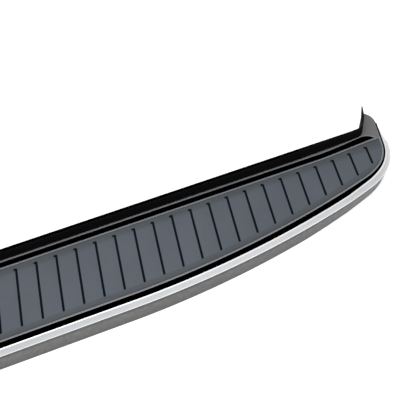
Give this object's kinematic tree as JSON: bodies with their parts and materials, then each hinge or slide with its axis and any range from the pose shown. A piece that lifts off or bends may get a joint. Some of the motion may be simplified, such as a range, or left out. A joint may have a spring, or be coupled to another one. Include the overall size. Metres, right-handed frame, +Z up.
{
  "type": "running board",
  "caption": "Fixed side step: slotted grey tread on a moulded deck with bright outer strip, lower valance and inner sill upstand, on a hidden beam with bolt-on bracket seats.",
  "frame": {"origin": "centre of the bounding box in X and Y, on the plane of the valance's lowest edge", "axes": "+X along the board, -Y to the outer side, +Y to the vehicle, +Z up"},
  "size_m": [1.7156, 0.2636, 0.089],
  "materials": {
    "tread_rubber": "moulded slate-grey tread, satin",
    "deck_grey": "fine-grained moulded plastic",
    "valance_grey": "painted plastic, satin",
    "trim_silver": "satin bright anodised",
    "black_rubber": "soft black sealing rubber",
    "black_plastic": "moulded black plastic",
    "beam_aluminium": "mill-finish extrusion",
    "pressed_steel": "zinc-plated pressing",
    "coated_steel": "black e-coat",
    "zinc_fastener": "bright zinc plate",
    "black_fastener": "black phosphate"
  },
  "bodies": {
    "root": {"tread_pad": "tread_rubber", "deck_moulding": "deck_grey", "channel_liner": "black_rubber", "outer_gap_seal": "black_rubber", "trim_strip": "trim_silver", "valance": "valance_grey", "sill_upstand": "black_rubber", "inner_wall_1": "black_plastic", "inner_wall_2": "black_plastic", "inner_wall_3": "black_plastic", "inner_wall_4": "black_plastic", "end_panel_front": "black_plastic", "end_panel_rear": "black_plastic", "deck_plate": "beam_aluminium", "support_beam": "beam_aluminium", "beam_plug_front": "black_plastic", "beam_plug_rear": "black_plastic", "bracket_seat_front": "coated_steel", "bracket_seat_centre": "coated_steel", "bracket_seat_rear": "coated_steel", "seat_weld_nuts": "zinc_fastener", "seat_bolts": "zinc_fastener", "seat_rivet_nuts": "zinc_fastener", "beam_screws": "zinc_fastener", "valance_screws": "zinc_fastener", "wall_screws": "black_fastener", "end_panel_bolts": "zinc_fastener", "end_panel_nuts": "zinc_fastener", "trim_clips": "black_plastic", "deck_pins": "black_plastic", "cross_member_1": "pressed_steel", "cross_member_2": "pressed_steel", "cross_member_3": "pressed_steel", "cross_member_4": "pressed_steel", "cross_member_5": "pressed_steel", "cross_member_6": "pressed_steel", "cross_member_7": "pressed_steel"}
  },
  "joints": []
}
